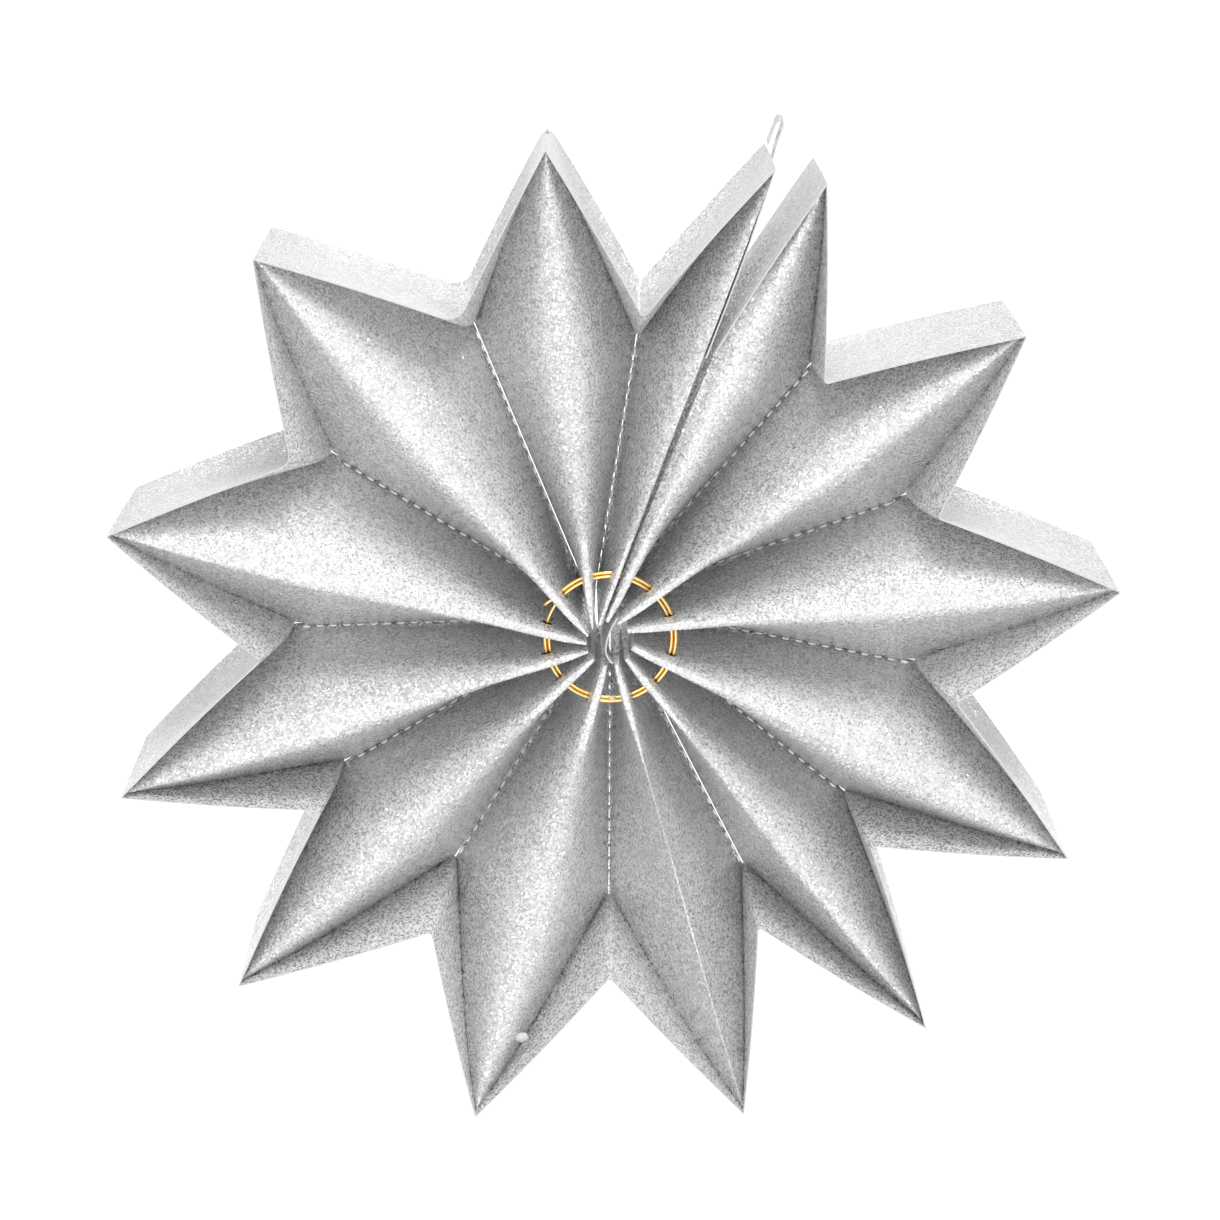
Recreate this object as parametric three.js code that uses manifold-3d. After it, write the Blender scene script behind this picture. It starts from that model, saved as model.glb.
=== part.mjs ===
// A fold-out paper star: thirteen hollow paper petals sewn together along the valleys
// between them, with folded rims round the points and a wire ring threaded through
// punched holes near the middle. It opens like a fan round the ring, and here it is
// opened almost all the way, with its first and last petals side by side.
// Millimetres. The star is built flat in its own plane, facing +Z, and the exported
// group stands it up, facing -Y.
import * as THREE from "three";
import { mergeVertices } from "three/addons/utils/BufferGeometryUtils.js";
import Module from "manifold-3d";

const wasm = await Module();
wasm.setup();

// Driving dimensions.
const tipRadius = 113; // axis to the front corner of a point, on average
const tipExcess = [0.5, 1, -0.5, -0.5, 0, -0.5, 0, 0.5, 0, -0.5, 3, -1.5, -0.5]; // by petal
const halfDepth = 21.5; // middle plane to the front folds
const backShare = 0.969; // radius at the back as a share of that at the front
const paper = 0.3; // thickness of the glitter paper
const gap = 0.3; // clearance kept between touching pieces
const firstTipAngle = 65.4; // degrees, anticlockwise from +X seen from the front
const tipGaps = [28.0, 31.5, 31.9, 25.6, 23.0, 30.7, 31.0, 25.7, 30.6, 35.7, 34.6, 25.6];
const ridgeHalfWidth = 0.4; // half the blunt width of a front or back fold
const innerRadius = 5; // axis to the inner end of a ridge
// Degrees by which each ridge's inner end is ahead of its tip: the ring holds the petals
// unevenly, so some ridges run straight out and some lean.
const innerTurns = [30, 30, 32, 14, 9, 2, 6, 0, 3, 12, 27, 40, 45];
const cornerHalfWidth = 0.2; // half the blunt width of a petal's side corners
const rimLength = 44.1; // tip fold to valley fold, along a rim
const seamDepth = -8.6; // the seams lie this far behind the middle plane
// How far each seam pulls its valley in, at the seam's depth.
const valleyPulls = [2, 5, 7, 5, 5, 9, 8.5, 4, 5.5, 8, 6, 9.5];
const valleyBow = 1.6; // power of the curve that a valley follows from front to back
const rimSpacing = 0.2; // valley line to the edge of a rim
const wallInset = 0.9; // a wall's widest place is this far inside the rim
const wallTipInset = 3; // the walls end this far inside the tip fold
const hollowTipInset = 1.6; // the hollow ends this far inside the walls' end
const wallSlant = 0.3; // extra share of wall thickness where a wall is widest
const threadWidth = 0.5; // sewing thread, across the valley
const threadDepth = 0.9; // sewing thread, front to back
const threadStart = 13; // axis to the first stitch
const threadEnd = 2.5; // last stitch to the end of the seam
const freeRimRadius = 69; // inner edge of the two rims that have no neighbour
const freeWallRadius = 66; // widest place of the two end walls
const firstEndWidth = 4.95; // half width of the first petal towards the opening
const lastEndWidth = 0.73; // half width of the last petal towards the opening
const ringRadius = 14; // mean radius of the binding ring
const ringPitch = 0.93; // from one turn of the ring to the next
const ringTurns = 1.96;
const ringEnd = 153.5; // degrees, where the outer end of the wire lies
const wireRadius = 0.42;
const ringBehindFolds = 5.3; // front folds to the plane of the ring
const holeRadius = 1.7; // punched hole

const paperColour = 0xd3d3d6;
const threadColour = 0xf4f2ec;
const goldColour = 0xd9a441;

const petalCount = tipGaps.length + 1;
const seamLevel = seamDepth / halfDepth;
const wallEndHalfWidth = ridgeHalfWidth + 0.05; // a petal's end, under its rims
const paperMaterial = () =>
  new THREE.MeshStandardMaterial({ color: paperColour, roughness: 0.55, metalness: 0.25 });
const threadMaterial = () =>
  new THREE.MeshStandardMaterial({ color: threadColour, roughness: 0.9, metalness: 0 });
const goldMaterial = () =>
  new THREE.MeshStandardMaterial({ color: goldColour, roughness: 0.2, metalness: 1 });

const label = (number) => String(number).padStart(2, "0");

function polar(radius, degrees) {
  const angle = THREE.MathUtils.degToRad(degrees);
  return new THREE.Vector2(radius * Math.cos(angle), radius * Math.sin(angle));
}

// The unit vector a quarter turn anticlockwise from a direction.
function leftOf(direction) {
  return new THREE.Vector2(-direction.y, direction.x).normalize();
}

function shifted(point, direction, distance) {
  return point.clone().addScaledVector(direction, distance);
}

// A closed body through rings of points, all with the same number of points. Each ring
// is a list of Vector3, and every ring is walked anticlockwise seen from the last ring.
// mirroredSide is the side whose quads are split along their other diagonal, as the
// inner face of a thin twisted panel has to be to stay parallel to its outer face.
function loft(rings, mirroredSide = -1) {
  const size = rings[0].length;
  const positions = rings.flat().flatMap((point) => point.toArray());
  const index = [];
  for (let ring = 0; ring < rings.length - 1; ring += 1) {
    for (let side = 0; side < size; side += 1) {
      const a = ring * size + side;
      const b = ring * size + ((side + 1) % size);
      if (side === mirroredSide) index.push(a, b, a + size, b, b + size, a + size);
      else index.push(a, b, b + size, a, b + size, a + size);
    }
  }
  return { positions, index, size };
}

function geometryFrom(positions, index) {
  const geometry = new THREE.BufferGeometry();
  geometry.setAttribute("position", new THREE.Float32BufferAttribute(positions, 3));
  geometry.setIndex(index);
  return geometry;
}

// A geometry as a manifold solid, for cutting.
function solidOf(geometry) {
  const bare = geometry.clone();
  bare.deleteAttribute("normal");
  bare.deleteAttribute("uv");
  const merged = mergeVertices(bare, 1e-4);
  return new wasm.Manifold(
    new wasm.Mesh({
      numProp: 3,
      vertProperties: merged.getAttribute("position").array,
      triVerts: new Uint32Array(merged.index.array),
    }),
  );
}

function geometryOf(solid) {
  const mesh = solid.getMesh();
  return geometryFrom(Array.from(mesh.vertProperties), Array.from(mesh.triVerts));
}

// The ridge line of each petal, from its inner end to its tip, seen from the front.
function makeRidges() {
  const ridges = [];
  let tipAngle = firstTipAngle;
  for (let petal = 0; petal < petalCount; petal += 1) {
    const inner = polar(innerRadius, tipAngle + innerTurns[petal]);
    const tip = polar(tipRadius + tipExcess[petal], tipAngle);
    const along = tip.clone().sub(inner).normalize();
    ridges.push({ tipAngle, inner, tip, along, left: leftOf(along) });
    tipAngle -= tipGaps[petal] ?? 0;
  }
  return ridges;
}

// The fold between two neighbours. frontRadius is where the rims meet at the front
// plane, and the seam pulls them in to its outer end.
function makeValley(leftRidge, rightRidge, pull) {
  const halfGap = THREE.MathUtils.degToRad((leftRidge.tipAngle - rightRidge.tipAngle) / 2);
  const angle = (leftRidge.tipAngle + rightRidge.tipAngle) / 2;
  const across = tipRadius * Math.sin(halfGap);
  const frontRadius =
    tipRadius * Math.cos(halfGap) - Math.sqrt(rimLength ** 2 - across ** 2);
  const inner = leftRidge.inner.clone().add(rightRidge.inner).multiplyScalar(0.5);
  const outer = polar((frontRadius - pull) * backScale(seamLevel), angle);
  const along = outer.clone().sub(inner).normalize();
  return { angle, frontRadius, pull, inner, outer, along, left: leftOf(along) };
}

// One side of a petal: where its wall starts, where it is widest, and the line that
// the inner edge of its rim follows from front to back.
function valleySide(valley, towardsLeft) {
  const sign = towardsLeft ? 1 : -1;
  const wallClear = threadWidth / 2 + gap;
  const radial = polar(1, valley.angle);
  const rimShift = leftOf(radial).multiplyScalar(sign * rimSpacing);
  return {
    free: false,
    radial,
    wallInner: shifted(valley.inner, valley.left, sign * wallClear),
    wallOuter: shifted(valley.outer, valley.left, sign * wallClear).addScaledVector(
      valley.along,
      -wallInset,
    ),
    rimEdge: (depth) => {
      const fromSeam = depth - seamLevel;
      const reach = fromSeam > 0 ? 1 - seamLevel : 1 + seamLevel;
      const bow = (Math.abs(fromSeam) / reach) ** valleyBow;
      const radius = valley.frontRadius - valley.pull * (1 - bow);
      return polar(radius * backScale(depth), valley.angle).add(rimShift);
    },
  };
}

// The outer side of an end petal, where the star opens.
function freeSide(ridge, neighbour, width, sign) {
  const start = ridge.inner.clone().add(neighbour.inner).multiplyScalar(0.5);
  const outward = ridge.left.clone().multiplyScalar(sign);
  const onRidge = (radius) => shifted(ridge.inner, ridge.along, radius - innerRadius);
  return {
    free: true,
    radial: ridge.along,
    wallInner: shifted(start, outward, -gap),
    wallOuter: shifted(onRidge(freeWallRadius), outward, width),
    rimEdge: (depth) =>
      shifted(onRidge(freeRimRadius * backScale(depth)), outward, width + gap + paper),
  };
}

// Radii shrink evenly from the front (depth 1) to the back (depth -1).
function backScale(depth) {
  return backShare + ((1 - backShare) * (depth + 1)) / 2;
}

// The eight corners of a petal's section: blunt front and back folds, and a valley
// corner on each side that splits in two beyond the seam. cornerDepths are the depths of
// the valley corner's front and back points.
function petalSection(centre, left, ridgeHalf, wallLeft, wallRight, cornerDepths, frontDepth) {
  const ridgeAt = (side, scale) => shifted(centre, left, side).multiplyScalar(scale);
  const back = backScale(-1);
  const onPlane = (point, z) => new THREE.Vector3(point.x, point.y, z);
  return [
    onPlane(ridgeAt(ridgeHalf, 1), frontDepth),
    onPlane(ridgeAt(-ridgeHalf, 1), frontDepth),
    onPlane(wallRight(1), cornerDepths[0]),
    onPlane(wallRight(-1), cornerDepths[1]),
    onPlane(ridgeAt(-ridgeHalf, back), -frontDepth),
    onPlane(ridgeAt(ridgeHalf, back), -frontDepth),
    onPlane(wallLeft(-1), cornerDepths[1]),
    onPlane(wallLeft(1), cornerDepths[0]),
  ];
}

// The three sections of a petal's outside, or of the hollow inside it.
function petalSections(ridge, leftSide, rightSide, hollow) {
  const inset = hollow ? paper : 0;
  const middle = leftSide.wallOuter.clone().add(rightSide.wallOuter).multiplyScalar(0.5);
  const along = middle.sub(ridge.inner).dot(ridge.along);
  const ridgeLength = ridge.tip.length() - innerRadius;
  const tipLine = ridgeLength - wallTipInset - (hollow ? hollowTipInset : 0);
  const inward = (point, sign, amount) => () => shifted(point, ridge.left, -sign * amount);
  // The walls lean, the back ones more, so their thickness across the petal is more than
  // the paper's.
  const leaning = (point) => {
    const width = Math.abs(point.clone().sub(ridge.inner).dot(ridge.left));
    return inset * Math.hypot(1, width / (halfDepth + seamDepth));
  };
  const frontDepth = halfDepth - inset;
  const innerHalf = ridgeHalfWidth - inset;
  const cornerHalf = hollow ? cornerHalfWidth / 2 : cornerHalfWidth;
  const seamCorner = [seamDepth + cornerHalf, seamDepth - cornerHalf];
  const widest = (side, sign) =>
    inward(side.wallOuter, sign, leaning(side.wallOuter) + inset * wallSlant);
  const start = petalSection(
    ridge.inner,
    ridge.left,
    innerHalf,
    inward(leftSide.wallInner, 1, inset),
    inward(rightSide.wallInner, -1, inset),
    seamCorner,
    frontDepth,
  );
  const wide = petalSection(
    shifted(ridge.inner, ridge.along, along),
    ridge.left,
    innerHalf,
    widest(leftSide, 1),
    widest(rightSide, -1),
    seamCorner,
    frontDepth,
  );
  const tipCentre = shifted(ridge.inner, ridge.along, tipLine);
  const tipHalf = hollow ? ridgeHalfWidth : wallEndHalfWidth;
  const tipCornerDepth = frontDepth - 0.3;
  const tipSide = (sign) => (depth) =>
    shifted(tipCentre, ridge.left, sign * tipHalf).multiplyScalar(backScale(depth));
  const tip = petalSection(
    tipCentre,
    ridge.left,
    hollow ? innerHalf : ridgeHalfWidth,
    tipSide(1),
    tipSide(-1),
    [tipCornerDepth, -tipCornerDepth],
    frontDepth,
  );
  return [start, wide, tip];
}

// A hollow petal: outside and inside skins, joined round the open inner end.
function petalGeometry(ridge, leftSide, rightSide) {
  const outside = loft(petalSections(ridge, leftSide, rightSide, false));
  const inside = loft(petalSections(ridge, leftSide, rightSide, true));
  const size = outside.size;
  const offset = outside.positions.length / 3;
  const index = [...outside.index];
  for (let i = 0; i < inside.index.length; i += 3) {
    const [a, b, c] = inside.index.slice(i, i + 3);
    index.push(a + offset, c + offset, b + offset);
  }
  for (let side = 0; side < size; side += 1) {
    const next = (side + 1) % size;
    index.push(side, offset + side, offset + next, side, offset + next, next);
  }
  const last = 2 * size;
  const cap = [0, 1, 2, 0, 2, 3, 0, 3, 4, 0, 4, 5, 0, 5, 6, 0, 6, 7];
  for (let i = 0; i < cap.length; i += 3) {
    const [a, b, c] = cap.slice(i, i + 3).map((corner) => corner + last);
    index.push(a, b, c);
    index.push(a + offset, c + offset, b + offset);
  }
  return geometryFrom([...outside.positions, ...inside.positions], index);
}

// One rim panel: a strip of paper as deep as the star, from the tip fold back to the
// valley. sign is 1 for the petal's left side and -1 for its right side.
function rimGeometry(ridge, side, sign) {
  const rows = 10;
  const longestMitre = 1.2;
  const outward = ridge.left.clone().multiplyScalar(sign);
  const rings = [];
  for (let row = 0; row <= rows; row += 1) {
    const depth = 1 - (2 * row) / rows;
    const edge = side.rimEdge(depth);
    const tip = ridge.tip.clone().multiplyScalar(backScale(depth));
    const span = tip.clone().sub(edge);
    const lean = Math.atan2(-span.dot(outward), span.dot(ridge.along));
    const halfAtWallEnd = wallEndHalfWidth + gap + paper;
    const tipHalf = Math.max(rimSpacing, halfAtWallEnd - wallTipInset * Math.tan(lean));
    const outerTip = shifted(tip, outward, tipHalf);
    const mitre = lean > 0 ? Math.min(paper / Math.sin(lean), longestMitre) : longestMitre;
    const innerTip = shifted(outerTip, ridge.along, -mitre).addScaledVector(
      outward,
      mitre * Math.tan(lean) - paper / Math.cos(lean),
    );
    const run = outerTip.clone().sub(edge).normalize();
    const turn = Math.abs(run.x * side.radial.y - run.y * side.radial.x);
    const innerEdge = side.free
      ? shifted(edge, leftOf(run), -sign * paper)
      : shifted(edge, side.radial, -paper / turn);
    const z = depth * halfDepth;
    const corners = [outerTip, innerTip, innerEdge, edge];
    const ordered = sign > 0 ? corners : corners.reverse();
    rings.push(ordered.map((point) => new THREE.Vector3(point.x, point.y, z)));
  }
  const skin = loft(rings, 1);
  const last = rows * skin.size;
  const index = [...skin.index];
  index.push(0, 2, 1, 0, 3, 2);
  index.push(last, last + 1, last + 2, last, last + 2, last + 3);
  return geometryFrom(skin.positions, index);
}

// The seam of one valley, as a straight run of thread at the seams' depth.
function threadGeometry(valley) {
  const start = shifted(valley.inner, valley.along, threadStart - innerRadius);
  const length = valley.outer.clone().sub(start).length() - threadEnd;
  const box = new THREE.BoxGeometry(length, threadWidth, threadDepth);
  const angle = Math.atan2(valley.along.y, valley.along.x);
  const centre = shifted(start, valley.along, length / 2);
  box.rotateZ(angle);
  box.translate(centre.x, centre.y, seamDepth);
  return box;
}

class RingCurve extends THREE.Curve {
  getPoint(share, target = new THREE.Vector3()) {
    const turnsLeft = (1 - share) * ringTurns;
    const angle = THREE.MathUtils.degToRad(ringEnd) - turnsLeft * 2 * Math.PI;
    const radius = ringRadius + ringPitch * (ringTurns / 2 - turnsLeft);
    return target.set(radius * Math.cos(angle), radius * Math.sin(angle), 0);
  }
}

// Nearly two turns of wire lying beside each other, as in a split ring.
function ringGeometry() {
  const sides = 8;
  const section = new THREE.Shape();
  for (let side = 0; side < sides; side += 1) {
    const angle = (2 * Math.PI * side) / sides;
    const x = wireRadius * Math.cos(angle);
    const y = wireRadius * Math.sin(angle);
    if (side === 0) section.moveTo(x, y);
    else section.lineTo(x, y);
  }
  section.closePath();
  const wire = new THREE.ExtrudeGeometry(section, {
    steps: 72,
    bevelEnabled: false,
    extrudePath: new RingCurve(),
  });
  wire.translate(0, 0, halfDepth - ringBehindFolds);
  return wire;
}

// The path that every punched hole follows round the axis.
function holeSolid() {
  const torus = new THREE.TorusGeometry(ringRadius, holeRadius, 8, 48);
  torus.translate(0, 0, halfDepth - ringBehindFolds);
  return solidOf(torus);
}

function addMesh(group, name, geometry, material) {
  const mesh = new THREE.Mesh(geometry, material);
  mesh.name = name;
  group.add(mesh);
}

const star = new THREE.Group();
const ridges = makeRidges();
const first = ridges[0];
const last = ridges[petalCount - 1];
const valleys = ridges.slice(1).map((ridge, i) => makeValley(ridges[i], ridge, valleyPulls[i]));
const hole = holeSolid();

ridges.forEach((ridge, i) => {
  const leftSide =
    i === 0 ? freeSide(first, last, firstEndWidth, 1) : valleySide(valleys[i - 1], false);
  const rightSide =
    i === petalCount - 1 ? freeSide(last, first, lastEndWidth, -1) : valleySide(valleys[i], true);
  const closed = petalGeometry(ridge, leftSide, rightSide);
  const punched = geometryOf(solidOf(closed).subtract(hole));
  const number = label(i + 1);
  addMesh(star, `petal_${number}`, punched, paperMaterial());
  addMesh(star, `rim_${number}_left`, rimGeometry(ridge, leftSide, 1), paperMaterial());
  addMesh(star, `rim_${number}_right`, rimGeometry(ridge, rightSide, -1), paperMaterial());
});
valleys.forEach((valley, i) => {
  addMesh(star, `seam_thread_${label(i + 1)}`, threadGeometry(valley), threadMaterial());
});
addMesh(star, "binding_ring", ringGeometry(), goldMaterial());
star.rotation.x = Math.PI / 2;

const part = new THREE.Group();
part.add(star);

export default part;
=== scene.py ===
"""The finished look of a fold-out paper star: glitter-paper petals, rims, seams and wire ring.

The star is worked out in its own plane, in millimetres: x to the right, z up, and depth towards
the viewer. place() turns such a point into the frame's metres. A petal has its own coordinates
too: run is the distance along its front ridge, from the inner end, and side is the distance to
the left of the ridge.
"""

import math

import bmesh
import bpy
import numpy as np
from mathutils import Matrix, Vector, noise


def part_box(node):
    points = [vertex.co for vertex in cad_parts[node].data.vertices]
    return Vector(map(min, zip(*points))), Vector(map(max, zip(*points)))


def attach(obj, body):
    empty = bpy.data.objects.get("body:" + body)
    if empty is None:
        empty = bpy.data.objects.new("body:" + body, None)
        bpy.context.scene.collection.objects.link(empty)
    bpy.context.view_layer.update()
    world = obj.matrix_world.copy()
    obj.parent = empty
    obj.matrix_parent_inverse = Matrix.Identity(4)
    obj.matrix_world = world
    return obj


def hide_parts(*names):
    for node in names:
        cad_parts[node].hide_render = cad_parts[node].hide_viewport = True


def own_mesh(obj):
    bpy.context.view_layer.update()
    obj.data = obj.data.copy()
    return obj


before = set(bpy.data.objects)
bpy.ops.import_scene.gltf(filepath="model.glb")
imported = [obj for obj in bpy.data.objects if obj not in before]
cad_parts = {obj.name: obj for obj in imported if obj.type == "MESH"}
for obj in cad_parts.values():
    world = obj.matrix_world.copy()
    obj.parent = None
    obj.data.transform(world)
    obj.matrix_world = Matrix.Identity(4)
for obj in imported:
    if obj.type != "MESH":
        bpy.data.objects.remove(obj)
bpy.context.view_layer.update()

MM = 0.001
PETALS = 13
PAPER = 0.3  # thickness of the paper
FRONT, BACK = 1, -1
LEFT, RIGHT = 1, -1

# ---------------------------------------------------------------------------------------------
# Camera and studio, in metres
# ---------------------------------------------------------------------------------------------

# Camera, as the photograph was taken.
CAMERA_DISTANCE = 1.974
CAMERA_ELEVATION = math.radians(15.41)
CAMERA_YAW = math.radians(-0.36)
CAMERA_LENS = 264  # millimetres
AIM_RIGHT, AIM_UP = 0.000265, 0.00181  # the middle of the picture, seen from the origin

# Lights: name, place, width, watts and target.
LIGHTS = (
    ("key_light", (0.25, -0.75, 1.5), 0.8, 19, (0, 0, 0)),
    ("front_light", (-0.4, -1.8, 0.4), 1.2, 9, (0, 0, 0)),
    ("low_light", (0.1, -1.0, -0.38), 0.7, 4, (0, 0, 0)),
    ("floor_light", (0, 2.7, 0.5), 3.4, 46, (0, 2.7, 0)),
)
WORLD_STRENGTH = 0.67
FLOOR_HEIGHT = -0.5
FLOOR_HALF = 8  # half of the floor's width


def add_camera():
    """The camera of the photograph, aimed a little beside the origin."""
    towards = Vector(
        (
            math.sin(CAMERA_YAW) * math.cos(CAMERA_ELEVATION),
            -math.cos(CAMERA_YAW) * math.cos(CAMERA_ELEVATION),
            math.sin(CAMERA_ELEVATION),
        )
    )
    turn = towards.to_track_quat("Z", "Y")
    aim = turn @ Vector((AIM_RIGHT, AIM_UP, 0))
    data = bpy.data.cameras.new("camera")
    data.lens = CAMERA_LENS
    data.clip_end = 20
    camera = add_object("camera", data)
    camera.location = aim + towards * CAMERA_DISTANCE
    camera.rotation_euler = turn.to_euler()
    bpy.context.scene.camera = camera


def add_object(name, data):
    """A new object in the scene."""
    piece = bpy.data.objects.new(name, data)
    bpy.context.scene.collection.objects.link(piece)
    return piece


def add_light(name, location, size, watts, target):
    """A square area light that faces its target."""
    data = bpy.data.lights.new(name, "AREA")
    data.size = size
    data.energy = watts
    lamp = add_object(name, data)
    lamp.location = location
    away = Vector(location) - Vector(target)
    lamp.rotation_euler = away.to_track_quat("Z", "Y").to_euler()


def add_studio():
    """Even light from all around, a large light above, two in front, and one that only
    reaches the floor behind."""
    for light in LIGHTS:
        add_light(*light)
    world = bpy.data.worlds.new("studio")
    world.use_nodes = True
    world.node_tree.nodes["Background"].inputs["Color"].default_value = (1, 1, 1, 1)
    world.node_tree.nodes["Background"].inputs["Strength"].default_value = WORLD_STRENGTH
    bpy.context.scene.world = world
    bpy.context.scene.view_settings.view_transform = "Standard"

    signs = [(-1, -1), (1, -1), (1, 1), (-1, 1)]
    corners = [(x * FLOOR_HALF, y * FLOOR_HALF, FLOOR_HEIGHT) for x, y in signs]
    mesh = bpy.data.meshes.new("floor")
    mesh.from_pydata(corners, [], [(0, 1, 2, 3)])
    mesh.materials.append(floor_material())
    floor = add_object("floor", mesh)


# ---------------------------------------------------------------------------------------------
# Materials
# ---------------------------------------------------------------------------------------------

FLAKE_SCALE = 2700  # cells in a metre: a flake is about 0.4 mm across
PATCH_SCALE = 240
PATCH_SHARE = 0.7  # how much the patches tell in a flake's shade
FLAKE_SHADES = (-0.1, 0.5)  # and what each flake adds of its own
STANDING_OUT = (0.58, 0.66)  # a flake whose random number passes these stands out
# From a flake that lies flat to one that stands out:
FLAKE_LEAN = (0.4, 1.15)
FLAKE_ROUGHNESS = (0.45, 0.18)
FLAKE_METALLIC = (0.15, 0.62)
BRIGHT_FLAKE = (0.97, 0.97, 0.98, 1)


def new_material(name):
    """A material with its node tree and its shader."""
    material = bpy.data.materials.new(name)
    material.use_nodes = True
    return material, material.node_tree, material.node_tree.nodes["Principled BSDF"]


def add_node(tree, kind, values=(), **settings):
    """A shader node with its input values, by socket name, and its settings."""
    node = tree.nodes.new(kind)
    for key, value in settings.items():
        setattr(node, key, value)
    for key, value in dict(values).items():
        node.inputs[key].default_value = value
    return node


def ramp_between(tree, factor, low, high):
    """A colour from low to high, by a factor from 0 to 1."""
    blend = add_node(tree, "ShaderNodeMix", data_type="RGBA")
    tree.links.new(factor, blend.inputs["Factor"])
    blend.inputs["A"].default_value = (*low, 1)
    blend.inputs["B"].default_value = (*high, 1)
    return blend.outputs["Result"]


def range_between(tree, value, low, high, start=0.0, end=1.0):
    """A number from low to high as a value goes from start to end."""
    node = add_node(
        tree,
        "ShaderNodeMapRange",
        {"From Min": start, "From Max": end, "To Min": low, "To Max": high},
    )
    tree.links.new(value, node.inputs["Value"])
    return node.outputs["Result"]


def texture(tree, kind, values, **settings):
    """A solid texture that is fixed to the object."""
    node = add_node(tree, kind, values, **settings)
    coordinates = add_node(tree, "ShaderNodeTexCoord")
    tree.links.new(coordinates.outputs["Object"], node.inputs["Vector"])
    return node


def add_bump(tree, shader, height, strength, distance):
    """Raises the surface by a texture's height, up to a distance in metres."""
    bump = add_node(tree, "ShaderNodeBump", {"Strength": strength, "Distance": distance})
    tree.links.new(height, bump.inputs["Height"])
    tree.links.new(bump.outputs["Normal"], shader.inputs["Normal"])


def floor_material():
    """A plain pale floor."""
    material, tree, shader = new_material("pale_floor")
    shader.inputs["Roughness"].default_value = 0.9
    shader.inputs["Base Color"].default_value = (0.93, 0.93, 0.93, 1)
    return material


def glitter_material(name, dark, light):
    """Paper covered in flakes: each cell of a Voronoi texture is one flake, with its own
    shade and lean. About four flakes in ten stand out: they are paler, lean more and shine."""
    material, tree, shader = new_material(name)
    links = tree.links
    flakes = texture(tree, "ShaderNodeTexVoronoi", {"Scale": FLAKE_SCALE})
    patches = texture(tree, "ShaderNodeTexNoise", {"Scale": PATCH_SCALE, "Detail": 4})
    chance = add_node(tree, "ShaderNodeSeparateColor")
    links.new(flakes.outputs["Color"], chance.inputs["Color"])
    standing_out = range_between(tree, chance.outputs["Green"], 0.0, 1.0, *STANDING_OUT)

    # Lean: the flake's random colour is a random direction, added to the paper's normal.
    centred = add_node(tree, "ShaderNodeVectorMath", operation="SUBTRACT")
    links.new(flakes.outputs["Color"], centred.inputs[0])
    centred.inputs[1].default_value = (0.5, 0.5, 0.5)
    leaning = add_node(tree, "ShaderNodeVectorMath", operation="SCALE")
    links.new(centred.outputs["Vector"], leaning.inputs[0])
    links.new(range_between(tree, standing_out, *FLAKE_LEAN), leaning.inputs["Scale"])
    surface = add_node(tree, "ShaderNodeNewGeometry")
    summed = add_node(tree, "ShaderNodeVectorMath", operation="ADD")
    links.new(surface.outputs["Normal"], summed.inputs[0])
    links.new(leaning.outputs["Vector"], summed.inputs[1])
    unit_node = add_node(tree, "ShaderNodeVectorMath", operation="NORMALIZE")
    links.new(summed.outputs["Vector"], unit_node.inputs[0])
    links.new(unit_node.outputs["Vector"], shader.inputs["Normal"])

    # Shade: some flakes are duller, and more of them where the patches are dark.
    shade = add_node(tree, "ShaderNodeMath", operation="MULTIPLY_ADD")
    links.new(patches.outputs["Fac"], shade.inputs[0])
    shade.inputs[1].default_value = PATCH_SHARE
    links.new(range_between(tree, chance.outputs["Red"], *FLAKE_SHADES), shade.inputs[2])
    dull = ramp_between(tree, shade.outputs["Value"], dark, light)
    colour = add_node(tree, "ShaderNodeMix", data_type="RGBA")
    links.new(standing_out, colour.inputs["Factor"])
    links.new(dull, colour.inputs["A"])
    colour.inputs["B"].default_value = BRIGHT_FLAKE
    links.new(colour.outputs["Result"], shader.inputs["Base Color"])
    links.new(range_between(tree, standing_out, *FLAKE_ROUGHNESS), shader.inputs["Roughness"])
    links.new(range_between(tree, standing_out, *FLAKE_METALLIC), shader.inputs["Metallic"])
    return material


def cut_edge_material():
    """The pale fibrous core of the paper, where it is cut."""
    material, tree, shader = new_material("cut_paper_edge")
    fibres = texture(tree, "ShaderNodeTexNoise", {"Scale": 1400, "Detail": 4})
    colour = ramp_between(tree, fibres.outputs["Fac"], (0.42, 0.4, 0.37), (0.6, 0.58, 0.54))
    tree.links.new(colour, shader.inputs["Base Color"])
    shader.inputs["Roughness"].default_value = 0.85
    add_bump(tree, shader, fibres.outputs["Fac"], 0.4, 0.0001)
    return material


def thread_material():
    """White cotton: plies twisted round each other, with a soft sheen."""
    material, tree, shader = new_material("white_thread")
    twist = {"Scale": 900, "Distortion": 1.5, "Detail": 2}
    plies = texture(tree, "ShaderNodeTexWave", twist, bands_direction="DIAGONAL")
    colour = ramp_between(tree, plies.outputs["Fac"], (0.78, 0.77, 0.74), (0.95, 0.94, 0.92))
    tree.links.new(colour, shader.inputs["Base Color"])
    shader.inputs["Roughness"].default_value = 0.8
    shader.inputs["Sheen Weight"].default_value = 0.3
    add_bump(tree, shader, plies.outputs["Fac"], 0.6, 0.00008)
    return material


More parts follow.
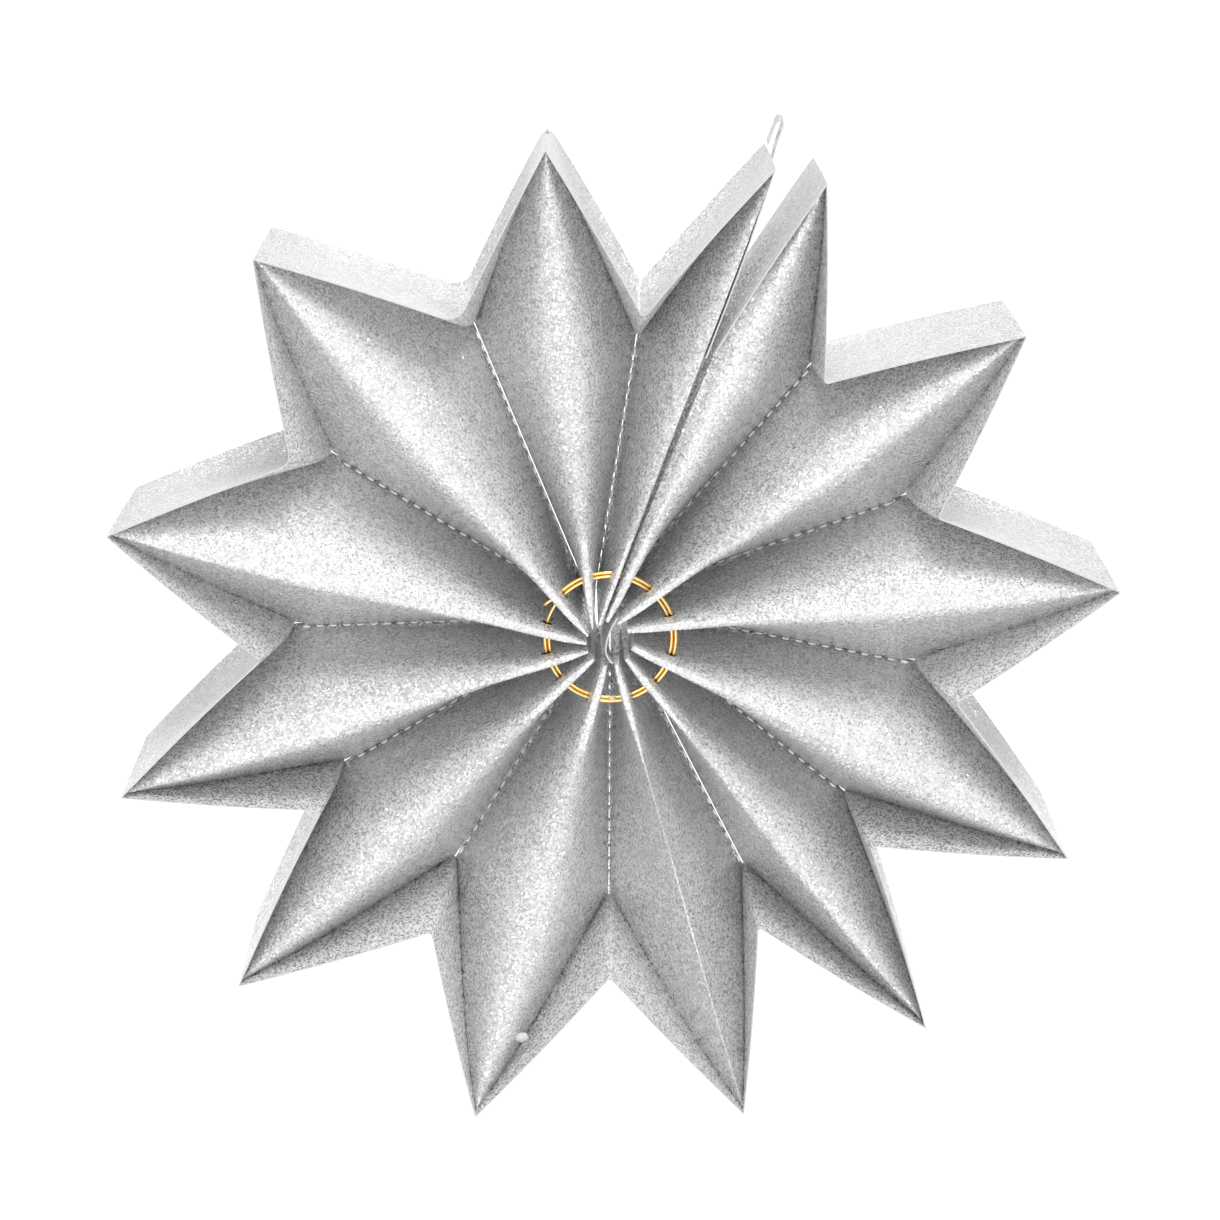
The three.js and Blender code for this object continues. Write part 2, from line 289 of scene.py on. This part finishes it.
def gold_material():
    """Plated wire: bright gold with slightly darker, duller stretches."""
    material, tree, shader = new_material("gold_wire")
    wear = texture(tree, "ShaderNodeTexNoise", {"Scale": 420, "Detail": 4})
    colour = ramp_between(tree, wear.outputs["Fac"], (0.62, 0.34, 0.09), (0.95, 0.66, 0.27))
    tree.links.new(colour, shader.inputs["Base Color"])
    tree.links.new(range_between(tree, wear.outputs["Fac"], 0.12, 0.36), shader.inputs["Roughness"])
    shader.inputs["Metallic"].default_value = 1
    return material


def glue_material():
    """A drop of clear hot glue, slightly milky."""
    material, tree, shader = new_material("clear_glue")
    haze = texture(tree, "ShaderNodeTexNoise", {"Scale": 700})
    colour = ramp_between(tree, haze.outputs["Fac"], (0.72, 0.72, 0.72), (0.9, 0.9, 0.88))
    tree.links.new(colour, shader.inputs["Base Color"])
    tree.links.new(range_between(tree, haze.outputs["Fac"], 0.08, 0.3), shader.inputs["Roughness"])
    shader.inputs["Transmission Weight"].default_value = 0.5
    return material


# ---------------------------------------------------------------------------------------------
# The CAD model's corners, in the star's plane
# ---------------------------------------------------------------------------------------------


def place(point, depth):
    """A point in the star's plane, at a depth, as a place in the frame."""
    return Vector((point[0], -depth, point[1])) * MM


def unit(vector):
    return vector / np.linalg.norm(vector)


def mix(a, b, share):
    return a + (b - a) * share


def smoothstep(low, high, value):
    """0 up to low, 1 from high on, and a smooth rise between them."""
    share = min(max((value - low) / (high - low), 0.0), 1.0)
    return share * share * (3 - 2 * share)


def cad_rows(node):
    """A CAD node's corners as points in the plane, by depth, nearest the axis first."""
    rows = {}
    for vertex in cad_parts[node].data.vertices:
        x, y, z = vertex.co / MM
        rows.setdefault(round(-y, 1), set()).add((round(x, 2), round(z, 2)))
    return {
        depth: [np.array(point) for point in sorted(points, key=lambda point: math.hypot(*point))]
        for depth, points in rows.items()
    }


def middle_depth(node):
    """How far in front of the star's middle plane a node's middle lies."""
    low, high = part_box(node)
    return -(low.y + high.y) / 2 / MM


HALF_DEPTH = round(-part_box("petal_01")[0].y / MM, 1)
SEAM_DEPTH = middle_depth("seam_thread_01")
SEAM_LEVEL = SEAM_DEPTH / HALF_DEPTH  # a level is a depth, from -1 at the back to 1 in front
FACET_RECESS = 2.6  # the facets' outer ends lie this far behind the rims' front edges
TIP_DEPTH = HALF_DEPTH - FACET_RECESS
RIDGE_DEPTH = HALF_DEPTH - 0.1  # the paper's ridges lie just inside the CAD model's
SEAM_GAP = 0.1  # from the seam to each petal's paper
RIM_GAP = 0.03  # from a rim's inner face to the facets behind it
RIM_BULGE = 0.35  # a rim's edges curve out this far between their folds
BULGE_INSIDE = 0.35  # share of that curve that is left half way between the edges
WALL_DROP = 2.0  # the end walls' edges lie this far behind the ridge
VALLEY_FOLD = 0.9  # length of paper, each side, that the fold in a valley takes
ROUND_VALLEYS = {(11, 12): 4.2, (10, 11): 3.0}  # and in front, in the rounder valleys


class Side:
    """One side of a petal: its rim's valley fold and its seam, shared with the neighbour.
    At the opening the side is free, and its seam is an open edge."""

    def __init__(self, rim):
        self.free = True
        # Nearest the axis are the inner and outer faces' corners at the valley, and farthest
        # from it is the outer face's corner at the tip.
        rows = cad_rows(rim)
        self.levels = sorted(depth / HALF_DEPTH for depth in rows)
        self.folds = np.array([rows[round(level * HALF_DEPTH, 1)][1] for level in self.levels])
        self.tips = {face: rows[face * HALF_DEPTH][-1] for face in (FRONT, BACK)}
        self.seam_inner = None
        self.front_rounding = VALLEY_FOLD

    def rounding(self, level):
        """Length of paper that the valley fold takes on this side."""
        return mix(VALLEY_FOLD, self.front_rounding, level * level)

    def fold(self, level):
        """The valley fold, in the plane, at a level."""
        return np.array([np.interp(level, self.levels, self.folds[:, axis]) for axis in (0, 1)])


class Petal:
    """A petal's inner ends and tips, in front and at the back, and its own coordinates."""

    def __init__(self, number):
        self.number = number
        self.label = f"{number:02d}"
        self.sides = {
            LEFT: Side(f"rim_{self.label}_left"),
            RIGHT: Side(f"rim_{self.label}_right"),
        }
        ridges = cad_rows(f"petal_{self.label}")
        self.inner, self.tips = {}, {}
        for face in (FRONT, BACK):
            ridge = ridges[face * HALF_DEPTH]  # it starts with the two corners of its inner end
            self.inner[face] = (ridge[0] + ridge[1]) / 2
            self.tips[face] = (self.sides[LEFT].tips[face] + self.sides[RIGHT].tips[face]) / 2
        self.along = unit(self.tips[FRONT] - self.inner[FRONT])
        self.left = np.array([-self.along[1], self.along[0]])

    def at(self, run, side):
        """The point in the plane at a place in the petal's own coordinates."""
        return self.inner[FRONT] + self.along * run + self.left * side

    def local(self, point):
        """The petal's own coordinates, run and side, of a point in the plane."""
        offset = point - self.inner[FRONT]
        return float(offset @ self.along), float(offset @ self.left)

    def tip(self, level):
        """The tip, in the plane, at a level."""
        return mix(self.tips[BACK], self.tips[FRONT], (level + 1) / 2)

    def rim_point(self, sign, level, share, inset=0.0):
        """A point of a rim's outer face, share of the way from the valley to the tip."""
        valley, tip = self.sides[sign].fold(level), self.tip(level)
        along = unit(tip - valley)
        outward = np.array([-along[1], along[0]]) * sign
        bulge = RIM_BULGE * math.sin(math.pi * share) * mix(BULGE_INSIDE, 1, abs(level))
        return mix(valley, tip, share) + outward * (bulge - inset)


def make_petals():
    """All the petals, with the valley between each two of them shared."""
    petals = [Petal(number) for number in range(1, PETALS + 1)]
    for left, right in zip(petals, petals[1:]):
        own, other = left.sides[RIGHT], right.sides[LEFT]
        seam_inner = (left.inner[FRONT] + right.inner[FRONT]) / 2
        shared = (own.folds + other.folds) / 2
        for side in (own, other):
            side.free, side.seam_inner, side.folds = False, seam_inner, shared
            side.front_rounding = ROUND_VALLEYS.get((left.number, right.number), VALLEY_FOLD)
    first, last = petals[0], petals[-1]
    opening = (first.inner[FRONT] + last.inner[FRONT]) / 2
    first.sides[LEFT].seam_inner = last.sides[RIGHT].seam_inner = opening
    return petals


# ---------------------------------------------------------------------------------------------
# Meshes
# ---------------------------------------------------------------------------------------------

SMOOTH_ANGLE = math.radians(38)  # a fold sharper than this stays a sharp edge
WELD_DISTANCE = 1e-6  # metres
SHORTEST_EDGE = 1e-7
TOWARDS_BACK = Vector((0, 1, 0.02))  # leans a little, so that no tube runs along it


def grid_faces(rows, columns, start, flip):
    """Quads between the rows and columns of a grid of vertices."""
    faces = []
    for row in range(rows - 1):
        for column in range(columns - 1):
            a = start + row * columns + column
            quad = (a, a + 1, a + columns + 1, a + columns)
            faces.append(quad[::-1] if flip else quad)
    return faces


def paper_object(name, grids, materials):
    """A piece of paper from grids of places, each with whether its quads are turned over to
    face out. The sheet is thickened inwards, and its cut edges get the second material."""
    mesh = bpy.data.meshes.new(name)
    places, faces = [], []
    for grid, flip in grids:
        faces += grid_faces(len(grid), len(grid[0]), len(places), flip)
        places += [corner for row in grid for corner in row]
    mesh.from_pydata(places, [], faces)
    shape = bmesh.new()
    shape.from_mesh(mesh)
    bmesh.ops.remove_doubles(shape, verts=shape.verts, dist=WELD_DISTANCE)
    bmesh.ops.dissolve_degenerate(shape, edges=shape.edges, dist=SHORTEST_EDGE)
    shape.to_mesh(mesh)
    shape.free()
    for material in materials:
        mesh.materials.append(material)
    piece = add_object(name, mesh)
    thicken = piece.modifiers.new("thicken", "SOLIDIFY")
    thicken.thickness = PAPER * MM
    thicken.offset = -1
    thicken.material_offset_rim = 1
    return piece


def apply_modifiers(piece):
    """Makes the modified mesh the piece's own, smooth but for its sharp folds."""
    view = bpy.context.evaluated_depsgraph_get()
    mesh = bpy.data.meshes.new_from_object(piece.evaluated_get(view))
    piece.modifiers.clear()
    piece.data = mesh
    mesh.name = piece.name
    mesh.shade_smooth()
    mesh.set_sharp_from_angle(angle=SMOOTH_ANGLE)


def tube(shape, centres, radii, sides=8):
    """Adds a closed tube to the shape, through centres with a radius at each."""
    rings = []
    for index, centre in enumerate(centres):
        before, after = centres[max(index - 1, 0)], centres[min(index + 1, len(centres) - 1)]
        along = (after - before).normalized()
        across = along.cross(TOWARDS_BACK).normalized()
        over = along.cross(across)
        ring = []
        for side in range(sides):
            angle = 2 * math.pi * side / sides
            offset = (across * math.cos(angle) + over * math.sin(angle)) * radii[index]
            ring.append(shape.verts.new(centre + offset))
        rings.append(ring)
    for first, second in zip(rings, rings[1:]):
        for side in range(sides):
            following = (side + 1) % sides
            shape.faces.new((first[side], first[following], second[following], second[side]))
    shape.faces.new(rings[0][::-1])
    shape.faces.new(rings[-1])


def mesh_object(name, shape, material):
    """A smooth object of one material from a finished shape."""
    bmesh.ops.recalc_face_normals(shape, faces=shape.faces)
    mesh = bpy.data.meshes.new(name)
    shape.to_mesh(mesh)
    shape.free()
    mesh.shade_smooth()
    mesh.materials.append(material)
    return add_object(name, mesh)


# ---------------------------------------------------------------------------------------------
# The ring, and its path through the papers
# ---------------------------------------------------------------------------------------------

RING_PITCH = 0.93  # between its two turns
RING_TURNS = 1.96
RING_END = math.radians(153.5)  # where the outer end of the wire is
RING_STEPS = 260
WIRE_END_TURN, WIRE_END_RISE = 0.035, 1.1  # the last part of a turn bends out this far
WIRE_END = 0.8  # thickness of the wire's blunt ends, as a share of the wire's
HOLE_RADIUS = 1.25  # of the holes punched for the ring


def ring_size():
    """The ring's mean radius and its wire's radius, from its CAD box."""
    low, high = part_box("binding_ring")
    wire = (high.y - low.y) / 2 / MM
    return (high.z - low.z) / 2 / MM - wire - RING_PITCH / 2, wire


def hole_cutter(material):
    """The path of the ring, as thick as the punched holes."""
    bpy.ops.mesh.primitive_torus_add(
        major_segments=96,
        minor_segments=20,
        major_radius=ring_size()[0] * MM,
        minor_radius=HOLE_RADIUS * MM,
        location=(0, -middle_depth("binding_ring") * MM, 0),
        rotation=(math.pi / 2, 0, 0),
    )
    cutter = bpy.context.object
    cutter.name = "hole_path"
    cutter.data.materials.append(material)
    return cutter


def make_ring(material):
    """Two turns of wire lying side by side, with the outer end bent out of the coil."""
    mean, wire = ring_size()
    depth = middle_depth("binding_ring")
    shape = bmesh.new()
    centres = []
    for step in range(RING_STEPS + 1):
        turns_left = RING_TURNS * (1 - step / RING_STEPS)
        angle = RING_END - turns_left * 2 * math.pi
        radius = mean + RING_PITCH * (RING_TURNS / 2 - turns_left)
        radius += WIRE_END_RISE * smoothstep(WIRE_END_TURN, 0, turns_left)
        centres.append(place((radius * math.cos(angle), radius * math.sin(angle)), depth))
    radii = [wire * MM] * len(centres)
    radii[0] = radii[-1] = wire * MM * WIRE_END
    tube(shape, centres, radii, sides=16)
    return mesh_object("wire_ring", shape, material)


# ---------------------------------------------------------------------------------------------
# Petals
# ---------------------------------------------------------------------------------------------

TIP_LENGTH = 22  # the crest comes down over this length of paper at the tip
CREST_STEPS = (0.0, 0.35, 0.62, 0.8, 0.92, 1.0)  # across a crest, as shares of its half width
FLANK_STEPS = 11
FLANK_HOLLOW = 0.045  # depth of a flank's hollow, as a share of its width
FLAP = 1.6  # depth of the glued flap behind each facet's outer edge
FLAP_START = 0.02  # share of the way up the rim where the flap starts
RIDGE_STRIP = 1.15  # half width of the blunt fold near the ring
SHARPEST = 0.15  # least half width of a crest
BROADEST = 0.9  # greatest share of a petal's half that its crest takes
CREST_GROWTH = (5, 34)  # the runs between which the blunt fold becomes the petal's own crest
BLUNT, ROUND = 7, 2.1  # powers: how flat a crest is before its sides drop
BLUNT_RUNS = (3, 24)  # the runs between which a blunt crest becomes a round one
# How much of each petal's left and right half its rounded crest takes: a small share is a
# crisp fold.
CRESTS = {
    1: (0.5, 0.5),
    2: (0.55, 0.24),
    3: (0.75, 0.2),
    4: (0.75, 0.45),
    5: (0.5, 0.14),
    6: (0.02, 0.02),
    7: (0.6, 0.65),
    8: (0.5, 0.55),
    9: (0.25, 0.65),
    10: (0.14, 0.75),
    11: (0.25, 0.6),
    12: (0.52, 0.52),
    13: (0.5, 0.4),
}
RIPPLE_HEIGHT = 0.35  # of the paper's slow ripples, at the most
RIPPLE_LENGTH = 17
RIPPLE_GROWTH = (10, 35)  # the runs between which the ripples start
RIPPLE_EDGE = 3  # the ripples fade over the last third of a flank
FACE_SPACING = 40.0  # keeps the ripples of the front and the back apart
GROOVE_WIDTH, GROOVE_DEPTH = 0.55, 4.5  # the step down into a seam, on each side of it
GROOVE_SHARE = 0.25  # greatest share of a petal's half that the step takes
GROOVE_FADE = 3  # the step comes up over this length at the seam's outer end
NARROWEST = 0.12  # least half width of a pouch
OUTLINE_STEPS = 80
NEAR_RING, NEAR_STEP = 14, 0.7  # sections lie close together this far from the inner end
SEAM_SECTIONS, VALLEY_SECTIONS, TIP_SECTIONS = 30, 4, 34  # and then along the seams and rims


class Outline:
    """The outer edge of one side of a pouch: along the seam, then inside the rim."""

    def __init__(self, petal, sign, face):
        self.petal, self.side, self.sign, self.face = petal, petal.sides[sign], sign, face
        self.start_height = TIP_DEPTH if self.side.free else face * SEAM_DEPTH
        self.shares = np.linspace(0, 1, OUTLINE_STEPS + 1)
        rim = np.array([petal.local(self.inside_rim(share)) for share in self.shares])
        if not self.side.free:
            rim[0] = petal.local(self.seam_corner())
            rim[0, 1] -= SEAM_GAP * sign
        inside = rim[:, 1] * sign > NARROWEST
        last = len(inside) if inside.all() else int(np.argmin(inside))
        self.shares, rim = self.shares[:last], rim[:last]
        start = petal.local(self.side.seam_inner)
        self.seam_end = rim[0, 0]
        self.run_end = rim[-1, 0]
        self.runs = np.concatenate([[start[0]], rim[:, 0]])
        self.widths = np.concatenate([[start[1] * sign - SEAM_GAP], rim[:, 1] * sign])
        self.rim_runs = rim[:, 0]

    def seam_corner(self):
        """The seam's outer end: where its line meets the rim's inner face."""
        valley = self.side.fold(SEAM_LEVEL)
        along = unit(valley - self.side.seam_inner)
        rim_along = unit(self.petal.tip(SEAM_LEVEL) - valley)
        rounded_off = self.side.rounding(SEAM_LEVEL) * (along @ rim_along) / 2
        return valley + along * (rounded_off - PAPER - RIM_GAP)

    def height(self, share):
        """How far the facet's edge lies to the front or back, a share of the way up the rim."""
        return mix(self.start_height, TIP_DEPTH, share)

    def inside_rim(self, share, drop=0.0):
        """A point against the rim's inner face, at the facet's edge or a drop behind it."""
        level = self.face * max(self.height(share) - drop, self.face * SEAM_DEPTH) / HALF_DEPTH
        return self.petal.rim_point(self.sign, level, share, PAPER + RIM_GAP)

    def width(self, run):
        """The half width of the pouch at a run."""
        return float(max(np.interp(run, self.runs, self.widths), NARROWEST))

    def share(self, run):
        """The share of the way up the rim at a run."""
        return float(np.interp(run, self.rim_runs, self.shares)) if run > self.seam_end else 0.0


def section(width, crest, flatness, drop, groove):
    """Half a petal's section, as (width, drop below the crest), from the crest outwards: a
    rounded or blunt crest, a slightly hollow flank, and a steep step into the seam."""
    lip = min(GROOVE_WIDTH, GROOVE_SHARE * width) if groove else 0.0
    full_width, width, drop = width, width - lip, drop - groove
    crest = min(crest, BROADEST * width)
    rise = crest**flatness + flatness * crest ** (flatness - 1) * (width - crest)
    scale = drop / rise
    half = [(crest * step, scale * (crest * step) ** flatness) for step in CREST_STEPS]
    slope = scale * flatness * crest ** (flatness - 1)
    crest_drop = half[-1][1]
    for step in range(1, FLANK_STEPS + 1):
        share = step / FLANK_STEPS
        across = (width - crest) * share
        hollow = FLANK_HOLLOW * (width - crest) * math.sin(math.pi * share)
        half.append((crest + across, crest_drop + slope * across + hollow))
    return [*half, (full_width, drop + groove)]


def facet_half(petal, outline, run, end, crest_height, shift):
    """Half of a section, from the ridge to the outer edge and the flap behind it."""
    face, sign = outline.face, outline.sign
    width, share = outline.width(run), outline.share(run)
    near_tip = smoothstep(end - TIP_LENGTH, end, run)
    crest_share = CRESTS[petal.number][0 if sign == LEFT else 1]
    own_crest = max(crest_share * width, SHARPEST)
    crest = mix(RIDGE_STRIP, own_crest, smoothstep(*CREST_GROWTH, run))
    flatness = mix(BLUNT, ROUND, smoothstep(*BLUNT_RUNS, run))
    edge_height = min(outline.height(share), crest_height)
    groove = GROOVE_DEPTH * (1 - smoothstep(-GROOVE_FADE, 0, run - outline.seam_end))
    if outline.side.free:
        edge_height = min(edge_height, crest_height - WALL_DROP * (1 - near_tip))
        groove = 0.0
    half = section(width, crest, flatness, crest_height - edge_height, groove)
    points = []
    for across, drop in half:
        point = petal.at(run, across * sign + shift * (1 - across / width))
        swell = ripple_at(point, face) * min((1 - across / width) * RIPPLE_EDGE, 1)
        swell *= smoothstep(*RIPPLE_GROWTH, run) * (1 - near_tip)
        points.append(place(point, face * (crest_height - drop + swell)))
    edge = petal.at(run, width * sign)
    if outline.side.free and run <= outline.seam_end:
        return [*points, place(edge, SEAM_DEPTH)]
    if share < FLAP_START:
        return [*points, place(edge, face * edge_height)]
    flap_height = max(edge_height - FLAP, face * SEAM_DEPTH)
    return [*points, place(outline.inside_rim(share, FLAP), face * flap_height)]


def facet_grid(petal, face):
    """One face of a pouch, front or back, as rows of places from its left edge to its right."""
    left, right = (Outline(petal, sign, face) for sign in (LEFT, RIGHT))
    shift = (petal.local(petal.inner[face])[1] + petal.local(petal.tips[face])[1]) / 2
    end = max(left.run_end, right.run_end)
    rows = []
    for run in petal_runs(left, right, end):
        crest_height = mix(RIDGE_DEPTH, TIP_DEPTH, smoothstep(end - TIP_LENGTH, end, run))
        left_half = facet_half(petal, left, run, end, crest_height, shift)
        right_half = facet_half(petal, right, run, end, crest_height, shift)
        rows.append([*left_half[::-1], *right_half[1:]])
    return rows


def ripple_at(point, face):
    """How far the paper swells at a point in the plane."""
    where = Vector((point[0], point[1], FACE_SPACING * face)) / RIPPLE_LENGTH
    return RIPPLE_HEIGHT * noise.noise(where)


def petal_runs(left, right, end):
    """Where a pouch's sections lie: close together at the ring, then evenly to the tip."""
    first, second = sorted((left.seam_end, right.seam_end))
    runs = [*np.arange(0, NEAR_RING, NEAR_STEP), *np.linspace(NEAR_RING, first, SEAM_SECTIONS)]
    runs += [*np.linspace(first, second, VALLEY_SECTIONS)[1:]]
    return [*runs, *np.linspace(second, end, TIP_SECTIONS)[1:]]


def make_petal(petal, cutter, materials):
    """A pouch: its front and back, and the paper across its inner end, punched for the ring."""
    front, back = facet_grid(petal, FRONT), facet_grid(petal, BACK)
    grids = [(front, False), (back, True), ([back[0], front[0]], False)]
    piece = paper_object(f"paper_petal_{petal.label}", grids, materials)
    punch = piece.modifiers.new("punch", "BOOLEAN")
    punch.object = cutter
    punch.operation = "DIFFERENCE"
    apply_modifiers(piece)
    return piece


# ---------------------------------------------------------------------------------------------
# Rims
# ---------------------------------------------------------------------------------------------

RIM_LEVELS = 25
RIM_STEPS = 14
VALLEY_STEPS, TIP_STEPS = 4, 8  # round the folds
TIP_FOLD = 0.8  # length of paper, each side, that the fold at a tip takes in front
BACK_FOLD = 1.4  # and at the back, where it is rounder
BACK_FOLDS = {1: 2.2, 10: 2.4, 12: 4.2, 13: 2.0}  # the roundest ones, by petal
BACK_FOLD_LEVEL = 0.3  # the tip's fold gets rounder from this level to the back
TO_NEIGHBOUR = 0.495  # a valley's fold stops just short of half way, where the next rim starts


def corner_curve(start, corner, end, steps, last=1.0):
    """Points of a rounded corner, from start, as far as a share of the way to end."""
    points = []
    for step in range(steps + 1):
        share = last * step / steps
        points.append(mix(mix(start, corner, share), mix(corner, end, share), share))
    return points


def mirrored(point, origin, direction):
    """A point mirrored in the line through origin along a unit direction."""
    offset = point - origin
    return origin + 2 * (offset @ direction) * direction - offset


def rim_row(petal, level):
    """A rim's outer face at one level, from the left valley round the tip to the right one."""
    tip = petal.tip(level)
    back = BACK_FOLDS.get(petal.number, BACK_FOLD)
    tip_fold = mix(TIP_FOLD, back, smoothstep(BACK_FOLD_LEVEL, BACK, level))
    halves = {}
    for sign, side in petal.sides.items():
        valley = side.fold(level)
        length = np.linalg.norm(tip - valley)
        first = 0.0 if side.free else side.rounding(level) / length
        last = 1 - tip_fold / length
        points = []
        if not side.free:
            start = petal.rim_point(sign, level, first)
            across = mirrored(start, valley, unit(valley))
            points = corner_curve(start, valley, across, VALLEY_STEPS, TO_NEIGHBOUR)[:0:-1]
        for step in range(RIM_STEPS + 1):
            points.append(petal.rim_point(sign, level, mix(first, last, step / RIM_STEPS)))
        halves[sign] = points
    fold = corner_curve(halves[LEFT][-1], tip, halves[RIGHT][-1], TIP_STEPS)[1:-1]
    return [*halves[LEFT], *fold, *halves[RIGHT][::-1]]


def make_rim(petal, materials):
    """A petal's rim: one strip from valley to valley, with its folds at the tip."""
    rows = []
    for level in np.linspace(FRONT, BACK, RIM_LEVELS):
        rows.append([place(point, level * HALF_DEPTH) for point in rim_row(petal, level)])
    piece = paper_object(f"paper_rim_{petal.label}", [(rows, False)], materials)
    apply_modifiers(piece)
    return piece


# ---------------------------------------------------------------------------------------------
# Stitches
# ---------------------------------------------------------------------------------------------

STITCH_START = 13  # distance from the axis
STITCH_END = 2  # least distance from the seam's outer end
STITCH_PITCH = 3.0
STITCH_LENGTH = 1.7
STITCH_HEIGHT = 3.6  # the middle of a stitch, above the seam
STITCH_BOW = 0.4  # its ends lie this much lower
BENDS = (-0.5, -0.42, -0.25, 0.0, 0.25, 0.42, 0.5)  # along a stitch, as shares of its length
THREAD_RADIUS = 0.27
THREAD_TAPER = 0.55  # share of the radius that is gone at a stitch's ends


def make_stitches(left, right, material):
    """A running stitch down the valley between two petals, on the front and on the back."""
    side = left.sides[RIGHT]
    inner, outer = side.seam_inner, side.fold(SEAM_LEVEL)
    along = unit(outer - inner)
    length = np.linalg.norm(outer - inner)
    shape = bmesh.new()
    for face in (FRONT, BACK):
        distance = STITCH_START - np.linalg.norm(inner)
        if face == BACK:
            distance += STITCH_PITCH / 2
        while distance < length - STITCH_END:
            centres, radii = [], []
            for bend in BENDS:
                lift = STITCH_HEIGHT - STITCH_BOW * (2 * bend) ** 2
                point = inner + along * (distance + bend * STITCH_LENGTH)
                centres.append(place(point, SEAM_DEPTH + face * lift))
                radii.append(THREAD_RADIUS * MM * (1 - THREAD_TAPER * (2 * bend) ** 6))
            tube(shape, centres, radii)
            distance += STITCH_PITCH
    return mesh_object(f"stitches_{left.label}", shape, material)


# ---------------------------------------------------------------------------------------------
# Loose ends of paper, and glue
# ---------------------------------------------------------------------------------------------

# The end of petal 2's paper curls across the middle, on edge: its course in the plane.
CURL = ((1.92, 5.81), (0.31, 2.76), (-0.6, -0.58), (-0.38, -2.8), (0.84, -4.45))
CURL_DEPTHS = (21, 18, 15, 12, 9)
CURL_LEAN = 0.06  # sideways for each millimetre of depth
# A narrow loop of paper left standing out beside petal 13's tip.
TAB = ((35.6, 101.6), (36.6, 105.2), (38.0, 109.4), (37.4, 110.0), (36.7, 109.6), (34.9, 104.9))
TAB_DEPTHS = (-8.2, -10.5, -13.0, -15.0)
PATH_STEPS = 8  # from one point of a course to the next
# Drops of glue: petal, place in the plane, depth, and half width and half height.
GLUE = (
    (7, (-19.56, -91.84), 16.0, (1.5, 1.1)),
    (9, (-12.8, -4.7), 14.0, (0.9, 0.5)),
    (6, (0.6, -13.5), 17.0, (0.8, 0.5)),
)
DROP_DEPTH = 0.7  # half the depth of a drop, as a share of its half height
LUMPS, LUMP_SCALE = 0.22, 1.3  # how uneven a drop is, and how closely


def smooth_path(corners):
    """Points of a smooth curve through the corners."""
    corners = [np.array(corner) for corner in corners]
    ends = [2 * corners[0] - corners[1], *corners, 2 * corners[-1] - corners[-2]]
    path = []
    for before, start, end, after in zip(ends, ends[1:], ends[2:], ends[3:]):
        for share in np.arange(PATH_STEPS) / PATH_STEPS:
            leaving, arriving = (end - before) / 2, (after - start) / 2
            middle = mix(start, end, smoothstep(0, 1, share))
            middle = middle + leaving * share * (1 - share) ** 2
            path.append(middle - arriving * share**2 * (1 - share))
    return [*path, corners[-1]]


def make_strip(name, corners, depths, lean, materials):
    """A strip of paper on edge, along a course in the plane, with a row at each depth."""
    path = smooth_path(corners)
    rows = []
    for depth in depths:
        offset = np.array([lean * (depth - depths[0]), 0])
        rows.append([place(point + offset, depth) for point in path])
    piece = paper_object(name, [(rows, False)], materials)
    apply_modifiers(piece)
    return piece


def make_drop(name, centre, depth, size, material):
    """A flattened, uneven drop."""
    half_width, half_height = size
    shape = bmesh.new()
    bmesh.ops.create_icosphere(shape, subdivisions=3, radius=1)
    for vertex in shape.verts:
        where = vertex.co * LUMP_SCALE + Vector((*centre, depth))
        swell = 1 + LUMPS * noise.noise(where)
        flat = vertex.co * Vector((half_width, half_height * DROP_DEPTH, half_height))
        vertex.co = place(centre, depth) + flat * swell * MM
    return mesh_object(name, shape, material)


def make_loose_ends(petals, materials):
    """The curled strip, the loop and the glue, each on its petal."""
    curl = make_strip("paper_curl", CURL, CURL_DEPTHS, CURL_LEAN, materials)
    tab = make_strip("paper_tab", TAB, TAB_DEPTHS, 0.0, materials)
    glue = glue_material()
    pieces = [(curl, 2), (tab, 13)]
    for index, (number, centre, depth, size) in enumerate(GLUE, start=1):
        pieces.append((make_drop(f"glue_drop_{index}", centre, depth, size, glue), number))
    for piece, number in pieces:
        fold_flat(piece, petals[number - 1])


# ---------------------------------------------------------------------------------------------
# The star
# ---------------------------------------------------------------------------------------------


def fold_flat(piece, petal):
    """The piece rides on its petal's body, with a mesh of its own."""
    first = petal.number == 1
    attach(piece, "first_petal" if first else f"fan_{petal.label}")
    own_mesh(piece)


def make_star():
    """Every piece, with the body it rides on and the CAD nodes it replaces."""
    glitter = glitter_material("silver_glitter", (0.34, 0.34, 0.342), (0.72, 0.72, 0.722))
    # The rims' glitter is a paler copy of the petals' paper: painted light on the rims' faces,
    # which turn up towards the light.
    rim_glitter_painted_light = glitter_material("rim_glitter_painted_light", (0.5, 0.5, 0.502), (0.82, 0.82, 0.822))
    cut_edge = cut_edge_material()
    thread = thread_material()
    petals = make_petals()
    cutter = hole_cutter(cut_edge)
    for petal in petals:
        pouch = make_petal(petal, cutter, [glitter, cut_edge])
        fold_flat(pouch, petal)
        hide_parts(f"petal_{petal.label}")
        rim = make_rim(petal, [rim_glitter_painted_light, cut_edge])
        fold_flat(rim, petal)
        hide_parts(f"rim_{petal.label}_left", f"rim_{petal.label}_right")
    bpy.data.objects.remove(cutter)
    for left, right in zip(petals, petals[1:]):
        stitches = make_stitches(left, right, thread)
        fold_flat(stitches, right)
        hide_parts(f"seam_thread_{left.label}")
    make_loose_ends(petals, [glitter, cut_edge])
    ring = make_ring(gold_material())
    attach(ring, "first_petal")
    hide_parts("binding_ring")


add_camera()
add_studio()
make_star()
